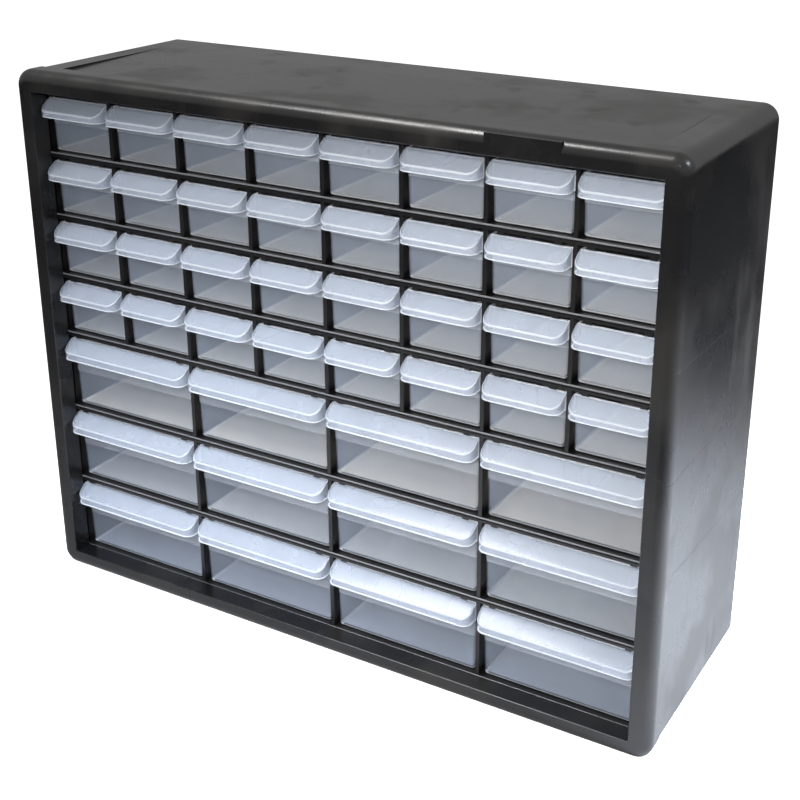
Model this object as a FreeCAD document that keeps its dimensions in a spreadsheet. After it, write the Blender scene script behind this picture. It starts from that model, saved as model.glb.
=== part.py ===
import FreeCAD, Part
import math
import os
import re
import Sketcher

# Parts bin cabinet: a moulded case whose grid of plates and uprights holds small and large bins.
# X runs to the right seen from the front, Y to the back, Z up. Z = 0 is the surface that it stands on.
# Millimetres. The front of the bezel lies at Y = -case_depth / 2, and X = 0 is the middle of the case.

SIZES = {
    # how many bins there are, and the pitches of the cells that hold them
    "small_columns": 8,
    "small_rows": 4,
    "large_rows": 3,
    "column_pitch": 60.1,
    "small_row_pitch": 46.9,
    "large_row_pitch": 62.2,
    # outside of the case
    "case_depth": 168.0,
    "side_bar": 15.5,
    "side_bar_cover": 1.9,
    "bottom_bar": 13.3,
    "top_bar": 15.4,
    "corner_radius": 12.0,
    # front bezel, a thin-walled frame that is open behind
    "bezel_depth": 18.0,
    "bezel_round": 8.0,
    "bezel_inner_round": 0.8,
    "bezel_wall": 2.5,
    "bezel_channel_depth": 11.0,
    # bare pad for a name on the top bar, measured from the middle of the case
    "name_pad_left": 126.0,
    "name_pad_width": 50.0,
    "name_pad_height": 13.2,
    "name_pad_depth": 7.0,
    # shell behind the bezel, with a recess in its top that runs out towards the back
    "shell_step": 1.0,
    "shell_wall": 2.6,
    "shell_top_wall": 4.4,
    "top_recess_depth": 1.8,
    "top_recess_side": 27.0,
    "top_recess_length": 112.0,
    # back panel with its keyhole hangers
    "back_thickness": 2.5,
    "back_gap": 0.2,
    "keyhole_spacing": 390.0,
    "keyhole_drop": 40.0,
    "keyhole_head_radius": 5.0,
    "keyhole_neck_radius": 2.4,
    "keyhole_travel": 10.0,
    # grid of plates and uprights, whose ceiling hangs a little lower than a shelf would
    "grid_recess": 14.7,
    "ceiling_drop": 0.9,
    "plate_thickness": 2.0,
    "upright_thickness": 2.8,
    "upright_setback": 0.9,
    "liner_thickness": 2.4,
    "slot_gap": 0.1,
    # rail across the back of a plate, which stops the bins short of the back panel
    "rail_room": 14.0,
    "rail_height": 4.0,
    "rail_thickness": 2.0,
    # nose of a plate: a bead, a groove under it and a lip with stop tabs
    "nose_height": 4.1,
    "bead_height": 1.4,
    "bead_round": 0.6,
    "groove_height": 1.0,
    "groove_depth": 1.3,
    "lip_setback": 0.5,
    "lip_thickness": 2.4,
    "tab_width": 4.6,
    "tab_inset": 10.8,
    "small_tab_height": 1.8,
    "large_tab_height": 1.1,
    # fit of a bin in its cell
    "bin_front_recess": 18.3,
    "bin_side_gap": 0.9,
    "bin_floor_gap": 0.3,
    "bin_back_gap": 0.5,
    "bin_lift_gap": 0.3,
    "bin_stop_gap": 0.3,
    "hood_tab_gap": 1.3,
    # bin moulding, with a stepped panel low on its front wall and the hooded pull above
    "bin_wall": 1.3,
    "bin_draft_slope": 0.033,
    "bin_bottom_bevel": 2.0,
    "bin_front_bevel": 1.2,
    "small_front_panel": 21.0,
    "large_front_panel": 27.7,
    "front_panel_step": 0.3,
    "riser_inset": 2.5,
    "hood_reach": 13.8,
    "small_hood_height": 12.4,
    "large_hood_height": 13.8,
    "hood_flat": 2.0,
    "hood_fall": 7.8,
    "hood_corner": 7.0,
    "hood_corner_flats": 4,
    "hood_front_wall": 1.9,
    "hood_roof": 1.7,
    "hood_cheek": 4.2,
    # how far a cut runs past the solid that it cuts
    "overrun": 3.0,
}

# Sizes that follow from the driving ones
DERIVED = {
    "grid_width": "small_columns * column_pitch",
    "grid_height": "large_rows * large_row_pitch + small_rows * small_row_pitch"
                   " + plate_thickness - ceiling_drop",
    "case_width": "grid_width + 2 * (side_bar - side_bar_cover)",
    "opening_half_width": "grid_width / 2 - side_bar_cover",
    "grid_bottom": "bottom_bar - plate_thickness",
    "grid_top": "grid_bottom + grid_height",
    "case_height": "grid_top + top_bar",
    "front_plane": "-case_depth / 2",
    "shell_front": "front_plane + bezel_depth",
    "shell_depth": "case_depth - bezel_depth",
    "shell_half_width": "case_width / 2 - shell_step",
    "shell_top": "case_height - shell_step",
    "grid_front": "front_plane + grid_recess",
    "back_front": "case_depth / 2 - back_thickness",
    "half_lap": "(grid_front + back_front) / 2",
    "large_block_top": "bottom_bar + large_rows * large_row_pitch",
    "ceiling_bottom": "grid_top - plate_thickness",
    "ceiling_nose": "nose_height - ceiling_drop",
    "lip_front": "grid_front + lip_setback",
    "lip_back": "grid_front + lip_setback + lip_thickness",
    "small_bin_width": "column_pitch - upright_thickness - 2 * bin_side_gap",
    "large_bin_width": "2 * column_pitch - upright_thickness - 2 * bin_side_gap",
    "small_bin_height": "small_row_pitch - nose_height - small_tab_height - hood_tab_gap - bin_floor_gap",
    "large_bin_height": "large_row_pitch - nose_height - large_tab_height - hood_tab_gap - bin_floor_gap",
    "small_riser_height": "small_row_pitch - nose_height - bin_lift_gap - bin_floor_gap",
    "large_riser_height": "large_row_pitch - nose_height - bin_lift_gap - bin_floor_gap",
    "bin_front": "front_plane + bin_front_recess",
    "rail_front": "back_front - rail_room",
    "bin_length": "rail_front - bin_back_gap - bin_front",
    "bin_travel": "bin_front + bin_length - bin_wall - lip_back - bin_stop_gap",
    "hood_slope": "hood_fall / (hood_reach - hood_flat)",
}

TOUCH = 1e-6

document = FreeCAD.newDocument("parts_bin_cabinet")
sheet = document.addObject("Spreadsheet::Sheet", "sizes")
for row, (name, value) in enumerate(list(SIZES.items()) + list(DERIVED.items()), start=1):
    sheet.set(f"A{row}", name)
    sheet.set(f"B{row}", str(value) if name in SIZES else "=" + value)
    sheet.setAlias(f"B{row}", name)
document.recompute()

subparts = []


def size(name):
    """A size as the sheet works it out."""
    return float(sheet.get(name))


def count(name):
    """A whole number of the sheet."""
    return int(round(size(name)))


def bound(formula):
    """The formula with each size written as the sheet's own, such as sizes.case_depth."""
    def with_sheet(match):
        word = match.group(0)
        return "sizes." + word if word in SIZES or word in DERIVED else word
    return re.sub(r"[a-z_]+", with_sheet, formula)


def worked_out(formula):
    """The value of a formula now."""
    return float(sheet.evalExpression(bound(formula)))


def new_body(label):
    """A body that is a sub-part, and so a file, of its own."""
    body = document.addObject("PartDesign::Body", label)
    body.Label = label
    subparts.append(body)
    return body


def flat_sketch(body, role, label, offset="0"):
    """A sketch on one of the body's own planes, shifted along the plane's normal."""
    sketch = body.newObject("Sketcher::SketchObject", label)
    plane = next(item for item in body.Origin.OriginFeatures if item.Role == role)
    sketch.AttachmentSupport = (plane, [""])
    sketch.MapMode = "FlatFace"
    sketch.setExpression("AttachmentOffset.Base.z", bound(offset))
    return sketch


def front_sketch(body, label, depth_place):
    """A sketch seen from the front, X to the right and Z up, at a place along Y."""
    return flat_sketch(body, "XZ_Plane", label, f"-({depth_place})")


def side_sketch(body, label, place="0"):
    """A sketch seen from the side, Y to the right and Z up, at a place along X."""
    return flat_sketch(body, "YZ_Plane", label, place)


def plan_sketch(body, label, height="0"):
    """A sketch seen from above, at a height."""
    return flat_sketch(body, "XY_Plane", label, height)


def pin_point(sketch, geometry, point, across, up):
    """Holds a point of the sketch at the place that two formulas give."""
    for kind, formula in (("DistanceX", across), ("DistanceY", up)):
        rule = Sketcher.Constraint(kind, -1, 1, geometry, point, worked_out(formula))
        index = sketch.addConstraint(rule)
        sketch.setExpression(f"Constraints[{index}]", bound(formula))


def add_outline(sketch, corners):
    """A closed outline through corners, each a pair of formulas that place it."""
    first = len(sketch.Geometry)
    total = len(corners)
    places = [FreeCAD.Vector(worked_out(across), worked_out(up), 0) for across, up in corners]
    for index in range(total):
        sketch.addGeometry(Part.LineSegment(places[index], places[(index + 1) % total]), False)
    for index in range(total):
        following = first + (index + 1) % total
        sketch.addConstraint(Sketcher.Constraint("Coincident", first + index, 2, following, 1))
    for index, (across, up) in enumerate(corners):
        pin_point(sketch, first + index, 1, across, up)


def add_circle(sketch, across, up, radius):
    """A circle whose centre and radius are formulas."""
    centre = FreeCAD.Vector(worked_out(across), worked_out(up), 0)
    normal = FreeCAD.Vector(0, 0, 1)
    index = sketch.addGeometry(Part.Circle(centre, normal, worked_out(radius)), False)
    pin_point(sketch, index, 3, across, up)
    rule = sketch.addConstraint(Sketcher.Constraint("Radius", index, worked_out(radius)))
    sketch.setExpression(f"Constraints[{rule}]", bound(radius))


def add_rounded_rectangle(sketch, left, right, low, high, radius):
    """An upright rectangle with round corners; every size is a formula."""
    first = len(sketch.Geometry)
    west, east, south, north = (worked_out(side) for side in (left, right, low, high))
    curve = worked_out(radius)
    ends = [((west + curve, south), (east - curve, south)),
            ((east, south + curve), (east, north - curve)),
            ((east - curve, north), (west + curve, north)),
            ((west, north - curve), (west, south + curve))]
    for start, end in ends:
        sketch.addGeometry(Part.LineSegment(FreeCAD.Vector(*start, 0), FreeCAD.Vector(*end, 0)), False)
    centres = [(east - curve, south + curve), (east - curve, north - curve),
               (west + curve, north - curve), (west + curve, south + curve)]
    for corner in range(4):
        following = first + (corner + 1) % 4
        circle = Part.Circle(FreeCAD.Vector(*centres[corner], 0), FreeCAD.Vector(0, 0, 1), curve)
        quarter = math.pi / 2
        bend = Part.ArcOfCircle(circle, (corner - 1) * quarter, corner * quarter)
        arc = sketch.addGeometry(bend, False)
        sketch.addConstraint(Sketcher.Constraint("Tangent", arc, 1, first + corner, 2))
        sketch.addConstraint(Sketcher.Constraint("Tangent", arc, 2, following, 1))
        rule = sketch.addConstraint(Sketcher.Constraint("Radius", arc, curve))
        sketch.setExpression(f"Constraints[{rule}]", bound(radius))
    for index, (level, kind, place) in enumerate((("Horizontal", "DistanceY", low),
                                                  ("Vertical", "DistanceX", right),
                                                  ("Horizontal", "DistanceY", high),
                                                  ("Vertical", "DistanceX", left))):
        line = first + index
        sketch.addConstraint(Sketcher.Constraint(level, line))
        rule = sketch.addConstraint(Sketcher.Constraint(kind, -1, 1, line, 1, worked_out(place)))
        sketch.setExpression(f"Constraints[{rule}]", bound(place))


def rectangle(left, right, low, high):
    """The corners of an upright rectangle, as formulas."""
    return [(left, low), (right, low), (right, high), (left, high)]


def extrude(body, kind, sketch, length, reverse, midplane):
    """A pad or pocket of a sketch, as long as the formula says."""
    feature = body.newObject(kind, sketch.Label + "_" + kind.split("::")[1].lower())
    feature.Profile = sketch
    feature.setExpression("Length", bound(length))
    feature.Reversed = reverse
    feature.Midplane = midplane
    document.recompute()
    return feature


def pad(body, sketch, length, reverse=False, midplane=False):
    """Material added along the sketch's normal, which points to -Y, +X or +Z."""
    return extrude(body, "PartDesign::Pad", sketch, length, reverse, midplane)


def pocket(body, sketch, length, reverse=False, midplane=False):
    """A cut against the sketch's normal, checked to have taken material away."""
    before = body.Shape.Volume
    feature = extrude(body, "PartDesign::Pocket", sketch, length, reverse, midplane)
    if not body.Shape.Volume < before - TOUCH:
        raise RuntimeError(f"{feature.Label} cuts nothing")
    return feature


def repeat_along_x(body, feature, times, step):
    """The feature repeated to the right, times in all, a step apart."""
    pattern = body.newObject("PartDesign::LinearPattern", feature.Label + "_row")
    pattern.Originals = [feature]
    pattern.Direction = (feature.Profile[0], ["H_Axis"])
    pattern.setExpression("Length", bound(f"({times} - 1) * {step}"))
    pattern.setExpression("Occurrences", bound(times))
    body.Tip = pattern
    document.recompute()
    return pattern


def edges_where(feature, test):
    """Names of the edges whose middle, direction and length pass the test."""
    names = []
    for index, edge in enumerate(feature.Shape.Edges, start=1):
        halfway = sum(edge.ParameterRange) / 2
        if test(edge.valueAt(halfway), edge.tangentAt(halfway), edge.Length):
            names.append(f"Edge{index}")
    return names


def fillet(body, feature, names, radius):
    """A round of one radius along the named edges."""
    if not names:
        raise RuntimeError(f"{feature.Label} has no edge to round")
    rounding = body.newObject("PartDesign::Fillet", feature.Label + "_round")
    rounding.Base = (feature, names)
    rounding.setExpression("Radius", bound(radius))
    document.recompute()
    return rounding


def bevel(body, feature, names, width):
    """A flat of one width along the named edges."""
    if not names:
        raise RuntimeError(f"{feature.Label} has no edge to bevel")
    flat = body.newObject("PartDesign::Chamfer", feature.Label + "_bevel")
    flat.Base = (feature, names)
    flat.setExpression("Size", bound(width))
    document.recompute()
    return flat


def column_line(index):
    """Where the line after a number of small columns lies, as a formula."""
    return f"(({index} - small_columns / 2) * column_pitch)"


def shelf_top(index):
    """The height of the upper face of a shelf, numbered from the top down, as a formula."""
    small_rows = count("small_rows")
    if index <= small_rows:
        return f"(large_block_top + ({small_rows} - {index}) * small_row_pitch)"
    return f"(large_block_top - ({index} - {small_rows}) * large_row_pitch)"


def make_front_bezel():
    """The front frame: a rounded bar all round, open behind, with a bare name pad on its top bar.

    The wall round its opening stops short of the grid, which is a little wider than the opening.
    """
    body = new_body("front_bezel")
    outside = front_sketch(body, "bezel_outside", "front_plane")
    add_rounded_rectangle(outside, "-case_width / 2", "case_width / 2", "0", "case_height", "corner_radius")
    frame = pad(body, outside, "bezel_depth", reverse=True)
    front = size("front_plane")
    rim = edges_where(frame, lambda middle, direction, length: abs(middle.y - front) < TOUCH)
    frame = fillet(body, frame, rim, "bezel_round")

    opening = front_sketch(body, "bezel_opening", "front_plane")
    add_outline(opening, rectangle("-opening_half_width", "opening_half_width", "bottom_bar", "grid_top"))
    frame = pocket(body, opening, "bezel_depth")
    half_width = size("opening_half_width") + TOUCH
    low = size("bottom_bar") - TOUCH
    high = size("grid_top") + TOUCH
    inner_rim = edges_where(frame, lambda middle, direction, length:
                            abs(middle.y - front) < TOUCH and abs(middle.x) < half_width
                            and low < middle.z < high)
    frame = fillet(body, frame, inner_rim, "bezel_inner_round")

    channel = front_sketch(body, "bezel_channel", "shell_front")
    rebate = front_sketch(body, "bezel_rebate", "shell_front")
    for cut in (channel, rebate):
        add_rounded_rectangle(cut, "(-case_width / 2 + bezel_wall)", "(case_width / 2 - bezel_wall)",
                              "bezel_wall", "(case_height - bezel_wall)", "(corner_radius - bezel_wall)")
    add_outline(channel, rectangle("-opening_half_width - bezel_wall", "opening_half_width + bezel_wall",
                                   "bottom_bar - bezel_wall", "grid_top + bezel_wall"))
    pocket(body, channel, "bezel_channel_depth", reverse=True)
    pocket(body, rebate, "bezel_depth - grid_recess + slot_gap", reverse=True)

    name_pad = front_sketch(body, "name_pad", "front_plane")
    add_outline(name_pad, rectangle("name_pad_left", "name_pad_left + name_pad_width",
                                    "grid_top + bezel_inner_round",
                                    "grid_top + bezel_inner_round + name_pad_height"))
    pad(body, name_pad, "name_pad_depth", reverse=True)


def make_case_shell():
    """The wrap behind the bezel: top, bottom and two sides, with a recess on top.

    The recess is deepest behind the bezel and its floor rises to nothing towards the back.
    """
    body = new_body("case_shell")
    outside = front_sketch(body, "shell_outside", "shell_front")
    add_rounded_rectangle(outside, "-shell_half_width", "shell_half_width", "0", "shell_top",
                          "(corner_radius - shell_step)")
    pad(body, outside, "shell_depth", reverse=True)

    hollow = front_sketch(body, "shell_hollow", "shell_front")
    add_rounded_rectangle(hollow, "(-shell_half_width + shell_wall)", "(shell_half_width - shell_wall)",
                          "shell_wall", "(shell_top - shell_top_wall)",
                          "(corner_radius - shell_step - shell_wall)")
    pocket(body, hollow, "shell_depth + overrun")

    recess = side_sketch(body, "top_recess")
    add_outline(recess, [("shell_front - overrun", "shell_top - top_recess_depth"),
                         ("shell_front", "shell_top - top_recess_depth"),
                         ("shell_front + top_recess_length", "shell_top"),
                         ("shell_front + top_recess_length", "shell_top + overrun"),
                         ("shell_front - overrun", "shell_top + overrun")])
    pocket(body, recess, "case_width - 2 * top_recess_side", midplane=True)


def make_back_panel():
    """The closed back, let into the shell, with two keyhole hangers."""
    body = new_body("back_panel")
    outside = front_sketch(body, "back_outside", "back_front")
    edge = "(shell_half_width - shell_wall - back_gap)"
    add_rounded_rectangle(outside, f"-{edge}", edge, "(shell_wall + back_gap)",
                          "(shell_top - shell_top_wall - back_gap)",
                          "(corner_radius - shell_step - shell_wall - back_gap)")
    pad(body, outside, "back_thickness", reverse=True)
    heads = front_sketch(body, "keyhole_heads", "back_front")
    necks = front_sketch(body, "keyhole_necks", "back_front")
    for side in ("-", ""):
        middle = f"{side}keyhole_spacing / 2"
        height = "case_height - keyhole_drop"
        add_circle(heads, middle, height, "keyhole_head_radius")
        add_outline(necks, rectangle(f"{middle} - keyhole_neck_radius",
                                     f"{middle} + keyhole_neck_radius",
                                     height, f"{height} + keyhole_travel"))
    pocket(body, heads, "back_thickness + overrun")
    pocket(body, necks, "back_thickness + overrun")


def add_tabs(body, lip_height, columns_wide, tab_height):
    """Stop tabs that hang from a lip, two to each cell, which is a number of small columns wide."""
    tabs = plan_sketch(body, body.Label + "_tabs", lip_height)
    for middle in (f"({column_line(0)} + tab_inset)", f"({column_line(columns_wide)} - tab_inset)"):
        add_outline(tabs, rectangle(f"{middle} - tab_width / 2", f"{middle} + tab_width / 2",
                                    "lip_front", "lip_back"))
    pair = pad(body, tabs, tab_height, reverse=True)
    repeat_along_x(body, pair, f"(small_columns / {columns_wide})", f"({columns_wide} * column_pitch)")


def rail_outline():
    """The upper rear of a plate's section: the rail, and the plate behind it."""
    return [("back_front", "0"), ("rail_front + rail_thickness", "0"),
            ("rail_front + rail_thickness", "rail_height"), ("rail_front", "rail_height"),
            ("rail_front", "0")]


def make_ceiling_plate():
    """The top of the grid, let in behind the bezel's opening, with a lip over the first row."""
    body = new_body("ceiling_plate")
    body.setExpression("Placement.Base.z", bound("grid_top"))
    section = side_sketch(body, "ceiling_section")
    add_outline(section, [("grid_front", "0"), ("grid_front", "-ceiling_nose"),
                          ("lip_back", "-ceiling_nose"), ("lip_back", "-plate_thickness"),
                          ("back_front", "-plate_thickness"), ("back_front", "0")])
    pad(body, section, "grid_width", midplane=True)
    add_tabs(body, "-ceiling_nose", 1, "small_tab_height")


def make_floor_plate():
    """The bottom of the grid, whose front edge is rounded over, with a rail behind the bins."""
    body = new_body("floor_plate")
    body.setExpression("Placement.Base.z", bound("bottom_bar"))
    section = side_sketch(body, "floor_section")
    add_outline(section, [("grid_front", "0"), ("grid_front", "-plate_thickness"),
                          ("back_front", "-plate_thickness")] + rail_outline())
    plate = pad(body, section, "grid_width", midplane=True)
    front = size("grid_front")
    nose = edges_where(plate, lambda middle, direction, length:
                       abs(middle.y - front) < TOUCH and abs(middle.z) < TOUCH)
    fillet(body, plate, nose, "bead_round")


def make_shelf(index):
    """A shelf: beaded nose and lip in front, rail behind, and slots for the uprights that cross it."""
    body = new_body(f"shelf_{index}")
    body.setExpression("Placement.Base.z", bound(shelf_top(index)))
    section = side_sketch(body, f"shelf_{index}_section")
    add_outline(section, [
        ("grid_front", "0"),
        ("grid_front", "-bead_height"),
        ("grid_front + groove_depth", "-bead_height"),
        ("grid_front + groove_depth", "-bead_height - groove_height"),
        ("lip_front", "-bead_height - groove_height"),
        ("lip_front", "-nose_height"),
        ("lip_back", "-nose_height"),
        ("lip_back", "-plate_thickness"),
        ("back_front", "-plate_thickness"),
    ] + rail_outline())
    plate = pad(body, section, "grid_width", midplane=True)
    front = size("grid_front")
    bead = edges_where(plate, lambda middle, direction, length:
                       abs(middle.y - front) < TOUCH and abs(direction.x) > 1 - TOUCH)
    fillet(body, plate, bead, "bead_round")

    over_small = index < count("small_rows")
    columns_wide = 1 if over_small else 2
    add_tabs(body, "-nose_height", columns_wide, "small_tab_height" if over_small else "large_tab_height")

    slots = plan_sketch(body, f"shelf_{index}_slots")
    half = "(upright_thickness / 2 + slot_gap)"
    first_line = column_line(columns_wide)
    add_outline(slots, rectangle(f"{first_line} - {half}", f"{first_line} + {half}",
                                 "half_lap - slot_gap", "back_front + overrun"))
    slot = pocket(body, slots, "2 * (plate_thickness + rail_height)", midplane=True)
    repeat_along_x(body, slot, f"(small_columns / {columns_wide} - 1)",
                   f"({columns_wide} * column_pitch)")


def upright_profile(foot, shelves):
    """The side outline of an upright, notched from the front for the shelves that it crosses.

    Its foot stands in front of the rail of the plate below, and is cut away over that rail.
    """
    front = "grid_front + upright_setback"
    behind_lip = "lip_back + slot_gap"
    under_ceiling = "grid_top - ceiling_nose - slot_gap"
    over_rail = f"{foot} + rail_height + slot_gap"
    outline = [("rail_front - slot_gap", foot), ("rail_front - slot_gap", over_rail),
               ("back_front", over_rail), ("back_front", "ceiling_bottom"),
               (behind_lip, "ceiling_bottom"), (behind_lip, under_ceiling), (front, under_ceiling)]
    for index in shelves:
        top = shelf_top(index)
        outline += [(front, f"{top} + slot_gap"),
                    ("half_lap", f"{top} + slot_gap"),
                    ("half_lap", f"{top} - plate_thickness - slot_gap"),
                    (behind_lip, f"{top} - plate_thickness - slot_gap"),
                    (behind_lip, f"{top} - nose_height - slot_gap"),
                    (front, f"{top} - nose_height - slot_gap")]
    outline.append((front, foot))
    return outline


def add_upright(body, label, line, foot, shelves):
    """One upright plate on its column line."""
    profile = side_sketch(body, label, column_line(line))
    add_outline(profile, upright_profile(foot, shelves))
    pad(body, profile, "upright_thickness", midplane=True)


def make_long_upright(label, line):
    """An upright of full height, which every shelf crosses."""
    crossed = range(1, count("small_rows") + count("large_rows"))
    add_upright(new_body(label), label + "_profile", line, "bottom_bar", crossed)


def make_short_uprights():
    """The uprights that stand on the lowest shelf of the upper block, between the long ones."""
    crossed = range(1, count("small_rows"))
    solids = []
    for line in range(1, count("small_columns"), 2):
        body = document.addObject("PartDesign::Body", f"short_upright_{line}")
        add_upright(body, f"short_upright_{line}_profile", line, "large_block_top", crossed)
        solids.append(body)
    group = document.addObject("Part::Compound", "short_uprights")
    group.Label = "short_uprights"
    group.Links = solids
    subparts.append(group)


def make_side_liners():
    """The inner side walls of the grid, which guide the outermost bins."""
    liners = []
    for label, place in (("left", "-grid_width / 2 - liner_thickness"), ("right", "grid_width / 2")):
        wall = document.addObject("Part::Box", f"side_liner_{label}")
        wall.setExpression("Length", bound("liner_thickness"))
        wall.setExpression("Width", bound("back_front - shell_front"))
        wall.setExpression("Height", bound("grid_height"))
        wall.setExpression("Placement.Base.x", bound(place))
        wall.setExpression("Placement.Base.y", bound("shell_front"))
        wall.setExpression("Placement.Base.z", bound("grid_bottom"))
        liners.append(wall)
    group = document.addObject("Part::Compound", "side_liners")
    group.Label = "side_liners"
    group.Links = liners
    subparts.append(group)


def hood_plan(width):
    """The outline of a hood from above; each front corner is a few flats along a quarter circle.

    Flats stand for the arc because the bins are many.
    """
    flats = count("hood_corner_flats")
    corner = []
    for step in range(flats + 1):
        turn = f"(90 deg * {step} / hood_corner_flats)"
        corner.append((f"({width} / 2 - hood_corner * (1 - cos({turn})))",
                       f"(-hood_reach + hood_corner * (1 - sin({turn})))"))
    left = [(f"-{across}", out) for across, out in reversed(corner)]
    return [(f"{width} / 2", "bin_wall / 2")] + corner + left + [(f"-{width} / 2", "bin_wall / 2")]


def make_bin_mould(kind):
    """One small or large bin: an open tray, a raised back wall that catches on the tabs, and a hooded pull.

    It is drawn with its front wall at Y = 0, its middle at X = 0 and its floor at Z = 0.
    """
    label = kind + "_bin"
    width, height = f"{kind}_bin_width", f"{kind}_bin_height"
    body = document.addObject("PartDesign::Body", label)
    front = front_sketch(body, label + "_front", "0")
    foot = f"({width} / 2 - {height} * bin_draft_slope)"
    add_outline(front, [(f"-{foot}", "0"), (foot, "0"), (f"{width} / 2", height), (f"-{width} / 2", height)])
    block = pad(body, front, "bin_length", reverse=True)
    rim = size(height) - TOUCH
    bottom = edges_where(block, lambda middle, direction, length:
                         abs(direction.y) > 1 - TOUCH and middle.z < TOUCH)
    block = bevel(body, block, bottom, "bin_bottom_bevel")
    top = next(f"Face{index}" for index, face in enumerate(block.Shape.Faces, start=1)
               if face.CenterOfMass.z > rim)
    tray = body.newObject("PartDesign::Thickness", label + "_tray")
    tray.Base = (block, [top])
    tray.setExpression("Value", bound("bin_wall"))
    tray.Reversed = True
    document.recompute()
    if not body.Shape.Volume < block.Shape.Volume / 2:
        raise RuntimeError(f"{label} is not hollow")
    front_edges = edges_where(tray, lambda middle, direction, length: middle.y < TOUCH and middle.z < rim)
    bevel(body, tray, front_edges, "bin_front_bevel")

    panel = side_sketch(body, label + "_panel")
    add_outline(panel, rectangle("-overrun", "front_panel_step", "-overrun", f"{kind}_front_panel"))
    pocket(body, panel, f"{width} + overrun", midplane=True)

    back = front_sketch(body, label + "_riser", "bin_length")
    add_outline(back, rectangle(f"-{width} / 2 + riser_inset", f"{width} / 2 - riser_inset",
                                f"{height} - riser_inset", f"{kind}_riser_height"))
    pad(body, back, "bin_wall")

    skirt = f"({height} - {kind}_hood_height)"
    plan = plan_sketch(body, label + "_hood", skirt)
    add_outline(plan, hood_plan(width))
    pad(body, plan, f"{kind}_hood_height")

    slope = side_sketch(body, label + "_slope")
    add_outline(slope, [("-hood_flat", height),
                        ("-hood_reach - overrun", f"{height} - hood_fall - overrun * hood_slope"),
                        ("-hood_reach - overrun", f"{height} + overrun"),
                        ("-hood_flat", f"{height} + overrun")])
    pocket(body, slope, f"{width} + overrun", midplane=True)

    core = side_sketch(body, label + "_core")
    reach_in = "(hood_reach - hood_front_wall)"
    add_outline(core, [("0", skirt), (f"-{reach_in}", skirt),
                       (f"-{reach_in}", f"{height} - hood_roof - ({reach_in} - hood_flat) * hood_slope"),
                       ("-hood_flat", f"{height} - hood_roof"), ("0", f"{height} - hood_roof")])
    pocket(body, core, f"{width} - 2 * hood_cheek", midplane=True)
    return body


def place_bin(label, mould, middle, floor):
    """A bin of the given moulding, standing on its cell's floor."""
    body = new_body(label)
    body.BaseFeature = mould
    body.setExpression("Placement.Base.x", bound(middle))
    body.setExpression("Placement.Base.y", bound("bin_front"))
    body.setExpression("Placement.Base.z", bound(f"{floor} + bin_floor_gap"))


def make_bins():
    """Every bin of both blocks, numbered by row from the top and by column from the left."""
    small, large = (make_bin_mould(kind) for kind in ("small", "large"))
    for row in range(1, count("small_rows") + 1):
        for column in range(count("small_columns")):
            middle = f"({column_line(column)} + {column_line(column + 1)}) / 2"
            place_bin(f"drawer_small_r{row}c{column + 1}", small, middle, shelf_top(row))
    for row in range(1, count("large_rows") + 1):
        floor = shelf_top(count("small_rows") + row)
        for column in range(count("small_columns") // 2):
            place_bin(f"drawer_large_r{row}c{column + 1}", large, column_line(2 * column + 1), floor)


def check_and_write():
    """Stops on any failed object or bad shape, then writes one file for each sub-part."""
    document.recompute()
    for item in document.Objects:
        if "Invalid" in item.State or "Error" in item.State:
            raise RuntimeError(f"{item.Label} failed: {item.State}")
    for part in subparts:
        if part.Shape.isNull() or not part.Shape.isValid():
            raise RuntimeError(f"{part.Label} has no valid shape")
    os.makedirs("parts", exist_ok=True)
    for part in subparts:
        part.Shape.exportStep(f"parts/{part.Label}.step")
    print(f"{len(subparts)} sub-parts, case {size('case_width')} x {size('case_depth')}"
          f" x {size('case_height')}, bin travel {size('bin_travel')}")


make_front_bezel()
make_case_shell()
make_back_panel()
make_ceiling_plate()
for shelf in range(1, count("small_rows") + count("large_rows")):
    make_shelf(shelf)
make_floor_plate()
for quarter, place in enumerate(("left", "centre", "right"), start=1):
    make_long_upright(f"long_upright_{place}", f"(small_columns * {quarter} / 4)")
make_short_uprights()
make_side_liners()
make_bins()
check_and_write()
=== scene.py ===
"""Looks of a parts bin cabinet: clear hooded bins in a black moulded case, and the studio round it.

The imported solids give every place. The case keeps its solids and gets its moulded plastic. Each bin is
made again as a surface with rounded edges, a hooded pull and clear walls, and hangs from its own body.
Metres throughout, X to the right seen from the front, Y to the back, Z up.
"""

import logging
import math
from dataclasses import dataclass, field
from enum import Enum

import bpy
import numpy as np
from mathutils import Matrix, Vector


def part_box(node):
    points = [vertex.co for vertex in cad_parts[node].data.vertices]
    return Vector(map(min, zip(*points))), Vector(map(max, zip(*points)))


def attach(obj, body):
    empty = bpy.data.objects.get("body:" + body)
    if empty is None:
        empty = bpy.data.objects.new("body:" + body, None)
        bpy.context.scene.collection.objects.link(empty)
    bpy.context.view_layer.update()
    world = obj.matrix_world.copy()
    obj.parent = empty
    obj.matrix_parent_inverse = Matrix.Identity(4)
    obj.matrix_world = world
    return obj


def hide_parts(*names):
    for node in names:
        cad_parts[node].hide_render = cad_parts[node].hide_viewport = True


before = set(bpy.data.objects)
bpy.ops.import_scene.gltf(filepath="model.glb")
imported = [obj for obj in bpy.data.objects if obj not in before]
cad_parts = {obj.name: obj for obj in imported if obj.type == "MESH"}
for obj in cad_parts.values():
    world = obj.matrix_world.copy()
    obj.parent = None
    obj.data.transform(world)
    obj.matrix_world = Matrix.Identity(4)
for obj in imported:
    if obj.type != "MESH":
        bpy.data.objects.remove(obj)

LOG = logging.getLogger("parts_bin_cabinet")
MM = 0.001
TINY = 1e-9
EDGE_HIGHLIGHT = "edge"
MILK = "milk"
Triple = tuple[float, float, float]
Colour = Triple


# Shader expressions


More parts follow.
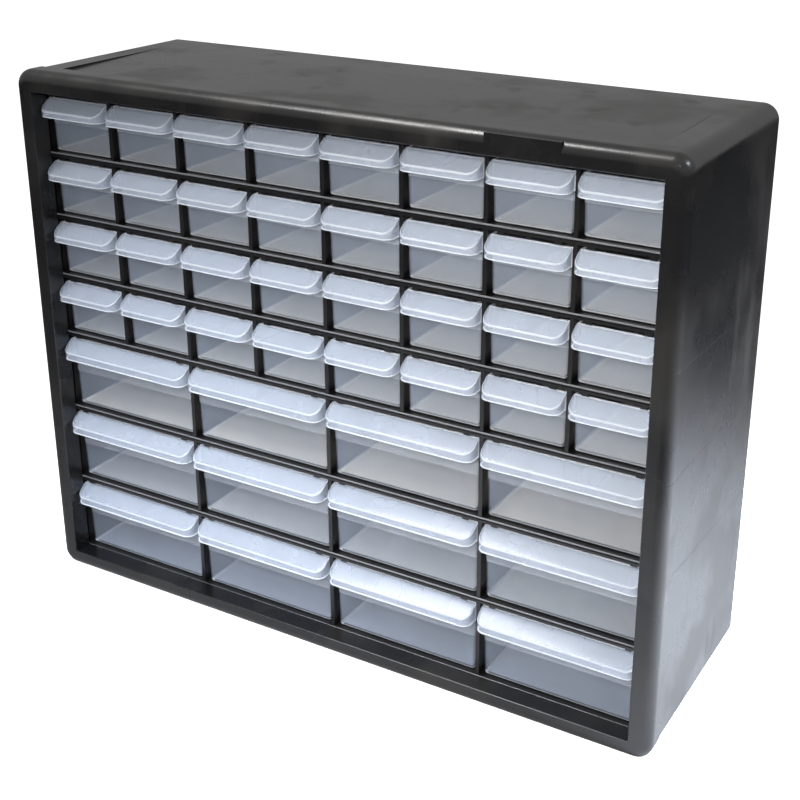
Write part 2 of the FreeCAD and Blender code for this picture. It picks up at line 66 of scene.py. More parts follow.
class Shade:
    """A socket of a node tree, on which Python's operators add Math nodes."""

    def __init__(self, bench: "Bench", socket: bpy.types.NodeSocket) -> None:
        """Wraps a socket.

        Args:
            bench: the bench whose tree holds the socket.
            socket: the output that carries the value.
        """
        self.bench = bench
        self.socket = socket

    def _joined(self, operation: str, first: "Shade | float", second: "Shade | float") -> "Shade":
        """Adds one Math node.

        Args:
            operation: the Math node's operation.
            first: its first value.
            second: its second value.

        Returns:
            The node's result.
        """
        return self.bench.add("ShaderNodeMath", {"operation": operation}, {0: first, 1: second})

    def __add__(self, other: "Shade | float") -> "Shade":
        """This value plus the other."""
        return self._joined("ADD", self, other)

    def __radd__(self, other: float) -> "Shade":
        """The other value plus this."""
        return self._joined("ADD", other, self)

    def __sub__(self, other: "Shade | float") -> "Shade":
        """This value less the other."""
        return self._joined("SUBTRACT", self, other)

    def __rsub__(self, other: float) -> "Shade":
        """The other value less this."""
        return self._joined("SUBTRACT", other, self)

    def __mul__(self, other: "Shade | float") -> "Shade":
        """This value times the other."""
        return self._joined("MULTIPLY", self, other)

    def __rmul__(self, other: float) -> "Shade":
        """The other value times this."""
        return self._joined("MULTIPLY", other, self)

    def __abs__(self) -> "Shade":
        """This value without its sign."""
        return self.bench.add("ShaderNodeMath", {"operation": "ABSOLUTE"}, {0: self})

    def kept_between(self, low: float, high: float) -> "Shade":
        """This value, held between two others.

        Args:
            low: the least that it gives.
            high: the most that it gives.

        Returns:
            The held value.
        """
        return self.bench.add("ShaderNodeClamp", {}, {"Value": self, "Min": low, "Max": high})

    def ramp(self, low: float, high: float, start: float = 0.0, end: float = 1.0) -> "Shade":
        """A smooth step between two values.

        Args:
            low: the value at which the step starts.
            high: the value at which it ends.
            start: what it gives at low and below.
            end: what it gives at high and above.

        Returns:
            The stepped value.
        """
        return self.bench.add(
            "ShaderNodeMapRange",
            {"interpolation_type": "SMOOTHSTEP"},
            {"Value": self, "From Min": low, "From Max": high, "To Min": start, "To Max": end},
        )


class Bench:
    """The node tree of one material or world, and the one method that adds nodes to it."""

    def __init__(self, owner: bpy.types.Material | bpy.types.World) -> None:
        """Empties the owner's tree.

        Args:
            owner: the material or world whose nodes are to be laid out.
        """
        owner.use_nodes = True
        self.tree = owner.node_tree
        self.tree.nodes.clear()

    def add(
        self,
        kind: str,
        settings: dict[str, object] | None = None,
        sockets: dict[str | int, object] | None = None,
        output: str | int = 0,
    ) -> Shade:
        """Adds a node.

        Args:
            kind: the node's type.
            settings: its properties, set first.
            sockets: values or links for its inputs, by name or place.
            output: which of its outputs is wanted.

        Returns:
            The wanted output.
        """
        node = self.tree.nodes.new(kind)
        for name, value in (settings or {}).items():
            setattr(node, name, value)
        for name, value in (sockets or {}).items():
            if isinstance(value, Shade):
                self.tree.links.new(value.socket, node.inputs[name])
            else:
                node.inputs[name].default_value = value
        return Shade(self, node.outputs[output] if node.outputs else None)

    def object_place(self) -> Shade:
        """The place on the object, in metres."""
        return self.add("ShaderNodeTexCoord", output="Object")

    def axis(self, name: str) -> Shade:
        """One of the three coordinates of the place on the object."""
        return self.add("ShaderNodeSeparateXYZ", {}, {0: self.object_place()}, output=name)

    def attribute(self, name: str) -> Shade:
        """A value that the mesh carries at each point."""
        return self.add("ShaderNodeAttribute", {"attribute_name": name}, output="Fac")

    def ray(self, kind: str) -> Shade:
        """1 for light rays of one kind, such as Is Camera Ray, and 0 for the others."""
        return self.add("ShaderNodeLightPath", output=kind)

    def noise(self, scale: float, detail: float = 2.0, stretch: Triple = (1.0, 1.0, 1.0)) -> Shade:
        """Cloudy noise over the object.

        Args:
            scale: how many clouds lie along a metre.
            detail: how many finer layers it has.
            stretch: how much denser it is along each axis.

        Returns:
            A value from 0 to 1.
        """
        place = self.add("ShaderNodeMapping", {}, {"Vector": self.object_place(), "Scale": stretch})
        return self.add("ShaderNodeTexNoise", {}, {"Vector": place, "Scale": scale, "Detail": detail})

    def tint(self, factor: Shade, first: Shade | Colour, second: Shade | Colour) -> Shade:
        """A colour between two.

        Args:
            factor: 0 for the first colour and 1 for the second.
            first: the first colour.
            second: the second colour.

        Returns:
            The mixed colour.
        """
        ends = [colour if isinstance(colour, Shade) else (*colour, 1.0) for colour in (first, second)]
        sockets = {"Factor": factor, 6: ends[0], 7: ends[1]}
        return self.add("ShaderNodeMix", {"data_type": "RGBA"}, sockets, output=2)

    def bump(self, height: Shade, depth: float) -> Shade:
        """A bumped normal.

        Args:
            height: the relief, from 0 to 1.
            depth: how deep it is, in metres.

        Returns:
            The normal.
        """
        return self.add("ShaderNodeBump", {}, {"Height": height, "Strength": 1.0, "Distance": depth})

    def surface(self, **sockets: object) -> None:
        """Ends the tree in one principled surface.

        Args:
            **sockets: its values and links, with underscores for the spaces of their names.
        """
        named = {name.replace("_", " "): value for name, value in sockets.items()}
        shader = self.add("ShaderNodeBsdfPrincipled", {}, named)
        self.add("ShaderNodeOutputMaterial", {}, {"Surface": shader})


# Finishes


@dataclass(frozen=True)
class WitnessLine:
    """A faint line that the mould leaves along the depth of a side wall, a little lower at the back."""

    height: float
    fall: float
    width: float = 0.5 * MM


@dataclass(frozen=True)
class RecessGroove:
    """The channel at the foot of each side wall of the top recess: full in front, gone behind the middle."""

    edge: float
    width: float = 1.0 * MM
    front: float = -67.0 * MM
    fade_start: float = -10.0 * MM
    fade_end: float = 45.0 * MM
    floor: float = 398.0 * MM
    depth: float = 1.0 * MM


@dataclass(frozen=True)
class BeadHighlight:
    """A painted highlight along the front of each plate's bead: all that lies in front of a depth, with a
    soft edge.
    """

    front: float
    start: float = 0.2 * MM
    end: float = 0.5 * MM
    colour: Colour = (0.15, 0.155, 0.17)


@dataclass(frozen=True)
class CasePlastic:
    """Black moulded polystyrene: a fine grain, a soft sheen, and rubbed patches from handling."""

    name: str
    base: Colour = (0.0055, 0.0055, 0.0062)
    rubbed: Colour = (0.022, 0.020, 0.018)
    smooth_roughness: float = 0.27
    rubbed_roughness: float = 0.46
    specular_level: float = 0.8
    grain_scale: float = 900.0
    grain_depth: float = 0.05 * MM
    scuffs: float = 1.0
    cloud_scale: float = 13.0
    cloud_range: tuple[float, float] = (0.44, 0.66)
    cloud_share: float = 0.6
    streak_scale: float = 42.0
    streak_stretch: Triple = (1.0, 1.0, 0.22)
    streak_range: tuple[float, float] = (0.58, 0.74)
    streak_share: float = 0.4
    lines: tuple[WitnessLine, ...] = ()
    line_depth: float = 0.12 * MM
    flank: float = 252.0 * MM
    flank_edge: float = 2.0 * MM
    bead: BeadHighlight | None = None
    recess: RecessGroove | None = None

    def relief(self, bench: Bench) -> Shade:
        """The surface's relief in metres: the grain, less each witness line and the recess's channels.

        A line's section is one smooth step down and one up, each a width long. Lines keep to the flanks.

        Args:
            bench: the tree to add to.

        Returns:
            The height.
        """
        height = bench.noise(self.grain_scale, 2.0) * self.grain_depth
        flank = abs(bench.axis("X")).ramp(self.flank - self.flank_edge, self.flank)
        for line in self.lines:
            level = bench.axis("Z") + bench.axis("Y") * line.fall
            below = level.ramp(line.height - line.width, line.height)
            above = level.ramp(line.height, line.height + line.width)
            height = height - (below - above) * flank * self.line_depth
        if self.recess is not None:
            height = height - self.groove(bench, self.recess) * self.recess.depth
        return height

    def groove(self, bench: Bench, recess: RecessGroove) -> Shade:
        """1 in the recess's two channels, and 0 elsewhere.

        Args:
            bench: the tree to add to.
            recess: where the channels lie.

        Returns:
            The mask.
        """
        across, along = abs(bench.axis("X")), bench.axis("Y")
        near = across.ramp(recess.edge - 2 * recess.width, recess.edge - recess.width)
        past = across.ramp(recess.edge - recess.width, recess.edge)
        faded = along.ramp(recess.fade_start, recess.fade_end, 1.0, 0.0)
        begun = along.ramp(recess.front, recess.front + recess.width)
        above = bench.axis("Z").ramp(recess.floor, recess.floor + recess.width)
        return (near - past) * (faded * begun) * above

    def material(self) -> bpy.types.Material:
        """Lays out this finish: rough and pale where clouds and upright streaks have rubbed it, with a
        painted highlight along the bead's front where it has one.

        Returns:
            Its material.
        """
        made = bpy.data.materials.new(self.name)
        bench = Bench(made)
        clouds = bench.noise(self.cloud_scale, 6.0).ramp(*self.cloud_range)
        streaks = bench.noise(self.streak_scale, 3.0, self.streak_stretch).ramp(*self.streak_range)
        worn = (clouds * self.cloud_share + streaks * self.streak_share) * self.scuffs
        colour = bench.tint(worn, self.base, self.rubbed)
        roughness = worn.ramp(0.0, 1.0, self.smooth_roughness, self.rubbed_roughness)
        # painted highlight: a lighter colour along the front of each plate's bead
        if self.bead is not None:
            start, end = self.bead.front + self.bead.start, self.bead.front + self.bead.end
            colour = bench.tint(bench.axis("Y").ramp(start, end, 1.0, 0.0), colour, self.bead.colour)
        bench.surface(
            Base_Color=colour,
            Roughness=roughness,
            Specular_IOR_Level=self.specular_level,
            Normal=bench.bump(self.relief(bench), 1.0),
        )
        return made


@dataclass(frozen=True)
class ClearPlastic:
    """Natural polypropylene: clear in its flat walls, milkier in the hood, and with a painted highlight along
    every edge.

    The inner floor is warm in the upper rows, and painted shade turns it cool and dim towards the bottom row.
    """

    name: str
    wall_front: float
    wall_alpha: float
    wall_colour: Colour = (0.46, 0.53, 0.66)
    hood_colour: Colour = (0.58, 0.65, 0.78)
    floor_colour: Colour = (0.99, 0.95, 0.87)
    shaded_floor_colour: Colour = (0.40, 0.45, 0.55)
    edge_highlight_colour: Colour = (0.90, 0.94, 1.0)
    floor_shade_top: float = 160.0 * MM
    hood_alpha: float = 0.32
    floor_alpha: float = 0.62
    edge_alpha: float = 0.55
    wall_edge: float = 1.0 * MM
    cloud_scale: float = 40.0
    cloud_range: tuple[float, float] = (0.2, 0.8)
    cloud_alpha: float = 0.04
    roughness: float = 0.13
    cloud_roughness: float = 0.04
    flow_scale: float = 16.0
    flow_stretch: Triple = (1.0, 1.0, 1.6)
    flow_depth: float = 0.3 * MM

    def material(self) -> bpy.types.Material:
        """Lays out this finish from the marks that each moulding carries.

        Returns:
            Its material.
        """
        made = bpy.data.materials.new(self.name)
        bench = Bench(made)
        inside = bench.axis("Y").ramp(self.wall_front, self.wall_front + self.wall_edge)
        edge, milk = bench.attribute(EDGE_HIGHLIGHT), bench.attribute(MILK)
        clouds = bench.noise(self.cloud_scale, 1.0).ramp(*self.cloud_range)
        flow = bench.noise(self.flow_scale, 0.0, self.flow_stretch)
        # painted shade: the inner floor turns cool and dim towards the bottom rows
        raised = bench.axis("Z").ramp(0.0, self.floor_shade_top)
        floor_colour = bench.tint(raised, self.shaded_floor_colour, self.floor_colour)
        milky = bench.tint(inside, self.hood_colour, floor_colour)
        colour = bench.tint(milk, self.wall_colour, milky)
        milky_alpha = inside * (self.floor_alpha - self.hood_alpha) + (self.hood_alpha - self.wall_alpha)
        # marked edges carry a painted highlight: a pale colour and more opacity
        alpha = milk * milky_alpha + self.wall_alpha + edge * self.edge_alpha
        bench.surface(
            Base_Color=bench.tint(edge, colour, self.edge_highlight_colour),
            Roughness=clouds.ramp(0.0, 1.0, self.roughness, self.roughness + self.cloud_roughness),
            Alpha=(alpha + clouds * self.cloud_alpha).kept_between(0.0, 1.0),
            Normal=bench.bump(flow, self.flow_depth),
        )
        return made


# Surfaces


@dataclass
class Shell:
    """A mesh in the making: points and faces of surfaces that are joined in one piece."""

    points: list[np.ndarray] = field(default_factory=list)
    faces: list[list[int]] = field(default_factory=list)
    marks: dict[str, list[np.ndarray]] = field(default_factory=lambda: {EDGE_HIGHLIGHT: [], MILK: []})
    total: int = 0

    def add_grid(self, grid: np.ndarray, marks: dict[str, np.ndarray] | None = None,
                 closed_rows: bool = False, closed_columns: bool = False, cap_ends: bool = False) -> None:
        """Adds a surface given as rows of points.

        The faces are the quads between neighbouring rows and columns, anticlockwise seen from outside
        where the rows climb and the columns run anticlockwise.

        Args:
            grid: points as rows x columns x 3.
            marks: for each row, how strong its painted edge highlight is and how milky it is, from 0 to 1; 0
                where not given.
            closed_rows: whether the last row joins the first.
            closed_columns: whether the last column joins the first.
            cap_ends: whether a flat face closes the first and last row or column that is open.
        """
        rows, columns = grid.shape[:2]
        number = np.arange(rows * columns).reshape(rows, columns) + self.total
        if closed_rows:
            number = np.vstack([number, number[:1]])
        if closed_columns:
            number = np.hstack([number, number[:, :1]])
        quads = np.stack([number[:-1, :-1], number[:-1, 1:], number[1:, 1:], number[1:, :-1]], axis=-1)
        faces = quads.reshape(-1, 4).tolist()
        if cap_ends and closed_columns:
            faces.append(number[0, :-1][::-1].tolist())
            faces.append(number[-1, :-1].tolist())
        if cap_ends and closed_rows:
            faces.append(number[:-1, 0].tolist())
            faces.append(number[:-1, -1][::-1].tolist())
        self.points.append(grid.reshape(-1, 3))
        self.faces.extend(faces)
        for name, values in self.marks.items():
            values.append(np.repeat((marks or {}).get(name, np.zeros(rows)), columns))
        self.total += rows * columns

    def mesh(self, name: str, crease_degrees: float = 32.0) -> bpy.types.Mesh:
        """The mesh of everything added, smooth but for its creases.

        Args:
            name: the mesh's name.
            crease_degrees: edges that turn more than this stay sharp.

        Returns:
            The mesh.
        """
        made = bpy.data.meshes.new(name)
        made.from_pydata(np.vstack(self.points).tolist(), [], self.faces)
        for mark, values in self.marks.items():
            made.attributes.new(mark, "FLOAT", "POINT").data.foreach_set("value", np.concatenate(values))
        made.shade_smooth()
        made.set_sharp_from_angle(angle=math.radians(crease_degrees))
        made.update()
        return made


def quarter(steps: int) -> np.ndarray:
    """Angles of a quarter turn from 0, in radians, both ends included."""
    return np.linspace(0.0, math.pi / 2, steps + 1)


def rounded_loops(half_width: np.ndarray, front: np.ndarray, back: np.ndarray, radius: np.ndarray,
                  height: np.ndarray, steps: int) -> np.ndarray:
    """Level loops round a box with round upright corners, one row for each height.

    Each corner is a quarter circle of the row's radius about a centre that lies the radius inside both
    sides, and the straight sides are what lies between the corners.

    Args:
        half_width: half the width of each loop.
        front: Y of each loop's front side.
        back: Y of each loop's back side.
        radius: corner radius of each loop.
        height: Z of each loop.
        steps: how many faces a corner has.

    Returns:
        Points as rows x columns x 3, anticlockwise seen from above.
    """
    turn = quarter(steps)
    angles = np.concatenate([turn, turn + math.pi / 2, turn + math.pi, turn + 3 * math.pi / 2])
    east = np.repeat([1.0, -1.0, -1.0, 1.0], steps + 1)
    north = np.repeat([1.0, 1.0, 0.0, 0.0], steps + 1)
    centre_x = (half_width - radius)[:, None] * east
    centre_y = np.where(north > 0, (back - radius)[:, None], (front + radius)[:, None])
    across = centre_x + radius[:, None] * np.cos(angles)
    along = centre_y + radius[:, None] * np.sin(angles)
    up = np.repeat(height[:, None], angles.size, axis=1)
    return np.stack([across, along, up], axis=-1)


class BinKind(Enum):
    """The two sizes of bin: heights of rim, front panel and hood, and how much a wall hides."""

    SMALL = ("small", 39.4 * MM, 21.0 * MM, 12.4 * MM, 0.19)
    LARGE = ("large", 55.4 * MM, 27.7 * MM, 13.8 * MM, 0.13)

    def __init__(self, word: str, rim: float, panel: float, hood: float, wall_alpha: float) -> None:
        """Keeps the values of one size.

        Args:
            word: its word in the nodes' names.
            rim: height of the rim over the foot.
            panel: height of the stepped panel low on the front wall.
            hood: height of the hood, from its lower edge to the rim.
            wall_alpha: how much one face of a flat wall hides.
        """
        self.word = word
        self.rim = rim
        self.panel = panel
        self.hood = hood
        self.wall_alpha = wall_alpha


@dataclass
class Bin:
    """One moulding: a tray with a raised back edge and a hooded pull across its front."""

    kind: BinKind
    half_width: float
    front: float
    back: float
    top: float
    wall: float = 1.3 * MM
    draft_slope: float = 0.033
    foot_radius: float = 2.4 * MM
    corner_radius: float = 2.2 * MM
    panel_step: float = 0.3 * MM
    riser_inset: float = 2.5 * MM
    hood_reach: float = 13.8 * MM
    hood_flat: float = 2.0 * MM
    hood_fall: float = 7.8 * MM
    hood_corner: float = 7.0 * MM
    hood_wall: float = 1.3 * MM
    hood_roof: float = 1.5 * MM
    ridge_round: float = 1.0 * MM
    edge_band: float = 0.5 * MM
    sunk: float = 0.4 * MM
    foot_steps: int = 5
    rim_points: int = 6
    corner_steps: int = 4
    least_radius: float = 0.4 * MM
    # strength of the painted highlight on the panel step
    step_shine: float = 0.35
    riser_round: float = 0.4 * MM
    riser_gap: float = 0.1 * MM
    riser_corner: float = 0.25 * MM
    riser_steps: int = 3
    riser_corner_steps: int = 2
    crease_round: float = 0.9 * MM
    cheek_points: int = 7
    hood_corner_steps: int = 10
    front_points: int = 9
    ridge_points: int = 6
    inner_ridge: float = 0.4 * MM
    ridge_limit_share: float = 0.6
    slope_shares: tuple[float, ...] = (0.3, 0.55, 0.68, 0.76, 0.82, 0.88, 0.94, 1.0)
    lip_round: float = 0.35 * MM
    # strengths of the painted highlights on the ridge and at the seam against the wall
    ridge_shine: float = 0.45
    seam_shine: float = 0.8

    def tray(self, shell: Shell) -> None:
        """Adds the open tray as one closed surface.

        Its section climbs from the foot over a quarter circle and a leaning wall, with a small step on
        the front, to the round rim, and goes down inside to the floor. Level loops carry it round.

        Args:
            shell: the mesh to add to.
        """
        turn = quarter(self.foot_steps)
        over = np.linspace(0.0, math.pi, self.rim_points)
        half_wall = self.wall / 2
        under_rim = self.kind.rim - half_wall - self.edge_band
        inner_radius = self.foot_radius - half_wall
        half_step = self.panel_step / 2
        inset = np.concatenate([
            self.foot_radius * (1 - np.sin(turn)),
            [0.0, 0.0, 0.0],
            (1 - np.cos(over)) * half_wall,
            [self.wall],
            self.wall + inner_radius * (1 - np.cos(turn)),
        ])
        height = np.concatenate([
            self.foot_radius * (1 - np.cos(turn)),
            [self.kind.panel - half_step, self.kind.panel + half_step, under_rim],
            self.kind.rim - half_wall + np.sin(over) * half_wall,
            [under_rim],
            self.wall + inner_radius * (1 - np.sin(turn)),
        ])
        # painted highlight along the foot's rounding, the panel step and the rim
        edge = np.concatenate([
            np.sin(2 * turn), [0.0, self.step_shine, 0.0], np.ones(over.size), np.zeros(1 + turn.size),
        ])
        under_step = np.arange(inset.size) <= turn.size
        lean = self.draft_slope * (self.kind.rim - height)
        loops = rounded_loops(
            self.half_width - lean - inset,
            self.front + inset + np.where(under_step, self.panel_step, 0.0),
            self.back - inset,
            np.maximum(self.corner_radius - inset, self.least_radius),
            height,
            self.corner_steps,
        )
        milk = np.concatenate([np.zeros(inset.size - turn.size), np.sin(turn)])
        shell.add_grid(loops, {EDGE_HIGHLIGHT: edge, MILK: milk}, closed_columns=True, cap_ends=True)

    def riser(self, shell: Shell) -> None:
        """Adds the strip that stands on the back rim and catches on the tabs: a thin round-edged plate.

        Args:
            shell: the mesh to add to.
        """
        turn = quarter(self.riser_steps)
        inset = np.concatenate([[0.0], self.riser_round * (1 - np.cos(turn))])
        round_edge = self.top - self.riser_round + self.riser_round * np.sin(turn)
        height = np.concatenate([[self.kind.rim - self.riser_inset], round_edge])
        loops = rounded_loops(
            self.half_width - self.riser_inset - inset,
            self.back - self.wall + self.riser_gap + inset,
            self.back - self.riser_gap - inset,
            np.full(inset.size, self.riser_corner),
            height,
            self.riser_corner_steps,
        )
        shell.add_grid(loops, closed_columns=True, cap_ends=True)

    def hood_top(self, along: np.ndarray) -> np.ndarray:
        """Height of the hood's upper face: level near the wall, then falling in a straight slope.

        The two meet in a soft crease, the smooth maximum of nothing and the way past the level part.

        Args:
            along: distance in front of the wall.

        Returns:
            Z of the upper face.
        """
        slope = self.hood_fall / (self.hood_reach - self.hood_flat)
        past = along - self.hood_flat
        return self.kind.rim - slope * (past + np.sqrt(past * past + self.crease_round ** 2)) / 2

    def hood_path(self, inset: float) -> tuple[np.ndarray, np.ndarray]:
        """The hood's outline from above, from the right end of the wall round the front to the left end.

        It runs straight along a cheek, round a quarter circle, along the front, and back in the same way.
        A point's partner lies on the wall, as far along it as the point is along the outline.

        Args:
            inset: how far it lies inside the hood's outer outline.

        Returns:
            Points of the outline, and for each its partner on the wall, both as columns x 2.
        """
        half = self.half_width - inset
        radius = self.hood_corner - inset
        reach = self.hood_reach - inset
        cheek = np.linspace(0.0, 1.0, self.cheek_points)[:-1] * (reach - radius)
        turn = quarter(self.hood_corner_steps)
        right_x = np.concatenate([np.full(cheek.size, half), half - radius + radius * np.cos(turn)])
        right_out = np.concatenate([cheek, reach - radius + radius * np.sin(turn)])
        front_x = np.linspace(1.0, -1.0, self.front_points)[1:-1] * (half - radius)
        across = np.concatenate([right_x, front_x, -right_x[::-1]])
        out = np.concatenate([right_out, np.full(front_x.size, reach), right_out[::-1]])
        step = np.hypot(np.diff(across), np.diff(out))
        share = np.concatenate([[0.0], np.cumsum(step)]) / step.sum()
        partner = half * (1 - 2 * share)
        return np.stack([across, out], axis=-1), np.stack([partner, np.zeros_like(partner)], axis=-1)

    def hood_rows(self, inset: float, drop: float, ridge: float) -> list[np.ndarray]:
        """Rows of one face of the hood, from the lower edge of its skirt up over the ridge to the wall.

        The ridge is a quadratic curve between a point on the skirt and one on the upper face, and from
        there each row moves by an equal share from the outline towards its partner on the wall.

        Args:
            inset: how far the face lies inside the outer outline.
            drop: how far its upper face lies under the outer one.
            ridge: how large its ridge is.

        Returns:
            Rows of points.
        """
        outline, wall = self.hood_path(inset)
        out = outline[:, 1]
        skirt = self.kind.rim - self.kind.hood
        crest = self.hood_top(out) - drop
        inward = wall - outline
        length = np.maximum(np.hypot(inward[:, 0], inward[:, 1]), TINY)
        inward = inward / length[:, None]
        near = np.minimum(ridge, self.ridge_limit_share * length)

        def row(plan: np.ndarray, height: np.ndarray) -> np.ndarray:
            """Points at plan places and heights."""
            return np.stack([plan[:, 0], self.front + self.sunk - plan[:, 1], height], axis=-1)

        rises = (self.lip_round, self.lip_round + self.edge_band)
        rows = [row(outline, np.full(out.size, skirt + rise)) for rise in rises]
        landed = outline + inward * near[:, None]
        low, high = crest - ridge, self.hood_top(landed[:, 1]) - drop
        for share in np.linspace(0.0, 1.0, self.ridge_points):
            bend = share * share
            plan = outline + (landed - outline) * bend
            height = (1 - share) ** 2 * low + 2 * share * (1 - share) * crest + bend * high
            rows.append(row(plan, height))
        for share in self.slope_shares:
            plan = landed + (wall - landed) * share
            rows.append(row(plan, self.hood_top(plan[:, 1]) - drop))
        return rows

    def hood(self, shell: Shell) -> None:
        """Adds the hooded pull: a thin cap, open below, whose back edge is sunk in the front wall.

        Args:
            shell: the mesh to add to.
        """
        outer = self.hood_rows(0.0, 0.0, self.ridge_round)
        inner = self.hood_rows(self.hood_wall, self.hood_roof, self.inner_ridge)
        middle = self.hood_path(self.hood_wall / 2)[0]
        bottom = np.stack([middle[:, 0], self.front + self.sunk - middle[:, 1],
                           np.full(len(middle), self.kind.rim - self.kind.hood)], axis=-1)
        # painted highlight along the skirt's lower edges, the ridge and the seam at the wall
        edge = np.zeros(1 + len(outer) + len(inner))
        edge[[0, 1, -1]] = 1.0
        slope_start = 1 + len(outer) - len(self.slope_shares)
        ridge = slice(slope_start - self.ridge_points, slope_start)
        edge[ridge] = self.ridge_shine * np.sin(np.linspace(0.0, math.pi, self.ridge_points))
        edge[len(outer)] = self.seam_shine
        grid = np.array([bottom] + outer + inner[::-1])[:, ::-1]
        shell.add_grid(grid, {EDGE_HIGHLIGHT: edge, MILK: np.ones(edge.size)}, closed_rows=True, cap_ends=True)

    def mesh(self, name: str) -> bpy.types.Mesh:
        """Builds the whole moulding.

        Args:
            name: the mesh's name.

        Returns:
            One mesh of three closed surfaces.
        """
        shell = Shell()
        self.tray(shell)
        self.riser(shell)
        self.hood(shell)
        return shell.mesh(name)


@dataclass
class BinRack:
    """Every bin of one size, each a mesh of its own where its solid stands."""

    kind: BinKind

    def nodes(self) -> list[str]:
        """The names of this size's solids, in order."""
        return sorted(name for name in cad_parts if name.startswith(f"drawer_{self.kind.word}_"))

    def build(self) -> list[bpy.types.Object]:
        """Builds every bin of this size.

        Returns:
            The finished pieces.
        """
        names = self.nodes()
        low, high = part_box(names[0])
        front = low.y + Bin.hood_reach
        first = Bin(self.kind, (high.x - low.x) / 2, front, high.y, high.z - low.z)
        pattern = first.mesh(f"bin_{self.kind.word}")
        clear = ClearPlastic(f"{self.kind.word}_bin_clear", front, self.kind.wall_alpha)
        pattern.materials.append(clear.material())
        pieces = []
        for name in names:
            corner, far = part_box(name)
            mesh = pattern.copy()
            mesh.transform(Matrix.Translation(((corner.x + far.x) / 2, 0.0, corner.z)))
            piece = bpy.data.objects.new(name.replace("drawer", "bin"), mesh)
            bpy.context.scene.collection.objects.link(piece)
            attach(piece, name)
            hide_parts(name)
            pieces.append(piece)
        bpy.data.meshes.remove(pattern)
        return pieces


@dataclass
class Case:
    """The moulded case: its solids are right as they are, and get their plastic."""

    outside: CasePlastic = CasePlastic(
        "case_black",
        lines=(
            WitnessLine(269.5 * MM, 0.045),
            WitnessLine(200.0 * MM, 0.015),
            WitnessLine(127.5 * MM, 0.045),
        ),
        recess=RecessGroove(227.0 * MM),
    )
    inside: CasePlastic = CasePlastic(
        "grid_black",
        smooth_roughness=0.3,
        rubbed_roughness=0.42,
        scuffs=0.4,
        # painted highlight along the front of the plates' beads
        bead=BeadHighlight(-69.3 * MM),
    )
    outside_nodes: tuple[str, ...] = ("front_bezel", "case_shell", "back_panel")

    def dress(self) -> int:
        """Gives each solid of the case its plastic.

        Returns:
            How many solids were dressed.
        """
        outer, inner = self.outside.material(), self.inside.material()
        dressed = 0
        for name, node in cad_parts.items():
            if name.startswith("drawer_"):
                continue
            node.data.materials.clear()
            node.data.materials.append(outer if name in self.outside_nodes else inner)
            dressed += 1
        return dressed


# Studio


@dataclass(frozen=True)
class Lamp:
    """A soft square lamp that the camera doesn't see."""

    name: str
    place: Triple
    aim: Triple
    side: float
    power: float
    colour: Colour = (1.0, 1.0, 1.0)
    spread_degrees: float = 180.0
    mirrored: bool = True

    def build(self) -> bpy.types.Object:
        """Hangs the lamp, turned to its aim.

        Returns:
            The lamp.
        """
        light = bpy.data.lights.new(self.name, "AREA")
        light.shape = "SQUARE"
        light.size = self.side
        light.spread = math.radians(self.spread_degrees)
        light.energy = self.power
        light.color = self.colour
        lamp = bpy.data.objects.new(self.name, light)
        way = Vector(self.aim) - Vector(self.place)
        lamp.matrix_world = Matrix.Translation(self.place) @ way.to_track_quat("-Z", "Y").to_matrix().to_4x4()
        lamp.visible_camera = False
        lamp.visible_glossy = self.mirrored
        bpy.context.scene.collection.objects.link(lamp)
        return lamp


@dataclass
class PhotoCamera:
    """The camera, at the photograph's viewing angle."""

    azimuth: float = 29.474
    elevation: float = 20.571
    roll: float = 0.353
    distance: float = 0.94096
    target: Triple = (0.05091, -0.004, 0.24654)
    image_side: float = 800.0
    focal: float = 1348.33
    centre_right: float = 437.87
    centre_down: float = 314.82
    sensor: float = 36.0
    clip: tuple[float, float] = (0.01, 60.0)

    def build(self) -> bpy.types.Object:
        """Places the camera.

        It looks back along the direction given by azimuth and elevation, turned by the roll, and its
        shift puts the optical axis where the photograph has it.

        Returns:
            The camera.
        """
        around, up_angle, roll = (math.radians(a) for a in (self.azimuth, self.elevation, self.roll))
        back = Vector((math.sin(around) * math.cos(up_angle), -math.cos(around) * math.cos(up_angle),
                       math.sin(up_angle)))
        right = (-back).cross(Vector((0.0, 0.0, 1.0))).normalized()
        above = right.cross(-back)
        across = right * math.cos(roll) + above * math.sin(roll)
        upward = above * math.cos(roll) - right * math.sin(roll)
        data = bpy.data.cameras.new("camera")
        data.sensor_width = self.sensor
        data.lens = self.focal / self.image_side * self.sensor
        data.shift_x = (self.image_side / 2 - self.centre_right) / self.image_side
        data.shift_y = (self.centre_down - self.image_side / 2) / self.image_side
        data.clip_start, data.clip_end = self.clip
        camera = bpy.data.objects.new("camera", data)
        turn = Matrix((across, upward, back)).transposed().to_4x4()
        camera.matrix_world = Matrix.Translation(Vector(self.target) + back * self.distance) @ turn
        bpy.context.scene.collection.objects.link(camera)
        bpy.context.scene.camera = camera
        return camera


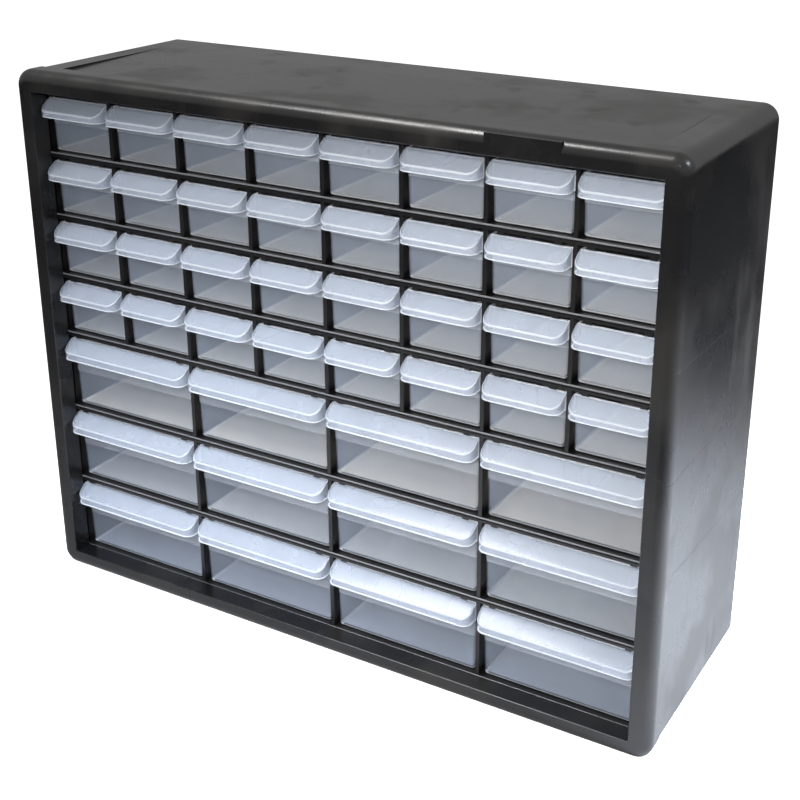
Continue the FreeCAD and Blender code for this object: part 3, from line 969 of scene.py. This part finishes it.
@dataclass
class Studio:
    """A pale floor, soft lamps and a white surround."""

    floor_half: float = 6.0
    floor_colour: Colour = (0.86, 0.86, 0.87)
    painted_pool_colour: Colour = (0.33, 0.33, 0.34)
    beyond_pool_colour: Colour = (0.18, 0.18, 0.19)
    pool_reach: tuple[float, float] = (0.10, 0.80)
    floor_glow: float = 0.84
    soft_glow: float = 0.12
    mirrored_glow: float = 0.42
    lamps: tuple[Lamp, ...] = (
        Lamp("key", (-0.62, -0.6, 1.7), (0.0, -0.05, 0.18), 0.42, 12.0, (1.0, 0.99, 0.97)),
        Lamp("fill", (0.36, -0.92, 0.70), (0.16, 0.0, 0.235), 0.3, 1.9, (1.0, 0.97, 0.91), 68.0, False),
        Lamp("streak", (-0.56, -0.10, 1.5), (0.18, -0.08, 0.05), 0.14, 1.0),
        Lamp("table_right", (0.62, 0.05, 0.6), (0.5, 0.05, 0.0), 0.3, 9.0, (0.84, 0.91, 1.0), 80.0),
        Lamp("table_front", (-0.1, -0.45, 0.5), (-0.1, -0.3, 0.0), 0.3, 1.6, (0.88, 0.93, 1.0), 80.0),
    )

    def world(self) -> None:
        """A white surround: full to the camera, less in mirrors, and faint as light on the object."""
        world = bpy.data.worlds.new("surround")
        bpy.context.scene.world = world
        bench = Bench(world)
        seen = bench.ray("Is Camera Ray") * (1.0 - self.soft_glow)
        mirrored = bench.ray("Is Glossy Ray") * (self.mirrored_glow - self.soft_glow)
        sockets = {"Color": (1.0, 1.0, 1.0, 1.0), "Strength": seen + mirrored + self.soft_glow}
        glow = bench.add("ShaderNodeBackground", {}, sockets)
        bench.add("ShaderNodeOutputWorld", {}, {"Surface": glow})

    def floor(self) -> bpy.types.Object:
        """Lays a pale floor that turns white away from the object and keeps its shadow, with a painted pool
        of light round the object that only reflections and bounced light see.

        Returns:
            The floor.
        """
        shell = Shell()
        side = np.linspace(-self.floor_half, self.floor_half, 3)
        right, back = np.meshgrid(side, side)
        shell.add_grid(np.stack([right, back, np.zeros_like(right)], axis=-1))
        piece = bpy.data.objects.new("floor", shell.mesh("floor"))
        made = bpy.data.materials.new("floor_white")
        bench = Bench(made)
        across, along = bench.axis("X"), bench.axis("Y")
        far = (across * across + along * along).ramp(*self.pool_reach)
        seen = bench.ray("Is Camera Ray")
        # painted pool of light: to other rays than the camera's the floor is paler near the object and darker
        # away from it
        painted_pool = bench.tint(far, self.painted_pool_colour, self.beyond_pool_colour)
        matte = bench.add("ShaderNodeBsdfDiffuse", {}, {"Color": bench.tint(seen, painted_pool, self.floor_colour)})
        lit = far * (1 - self.floor_glow) + self.floor_glow
        glow = bench.add("ShaderNodeEmission", {}, {"Color": (1.0, 1.0, 1.0, 1.0), "Strength": seen * lit})
        both = bench.add("ShaderNodeAddShader", {}, {0: matte, 1: glow})
        bench.add("ShaderNodeOutputMaterial", {}, {"Surface": both})
        piece.data.materials.append(made)
        bpy.context.scene.collection.objects.link(piece)
        return piece

    def build(self) -> None:
        """Builds the floor, lamps and surround."""
        self.world()
        self.floor()
        for lamp in self.lamps:
            lamp.build()
        bpy.context.scene.view_settings.view_transform = "Standard"


def main() -> None:
    """Builds the cabinet's looks and its studio."""
    logging.basicConfig(level=logging.INFO, format="%(name)s: %(message)s")
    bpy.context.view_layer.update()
    LOG.info("%d solids of the case dressed", Case().dress())
    for kind in BinKind:
        LOG.info("%d %s bins built", len(BinRack(kind).build()), kind.word)
    Studio().build()
    PhotoCamera().build()
    LOG.info("studio and camera placed")


if __name__ == "__main__":
    main()
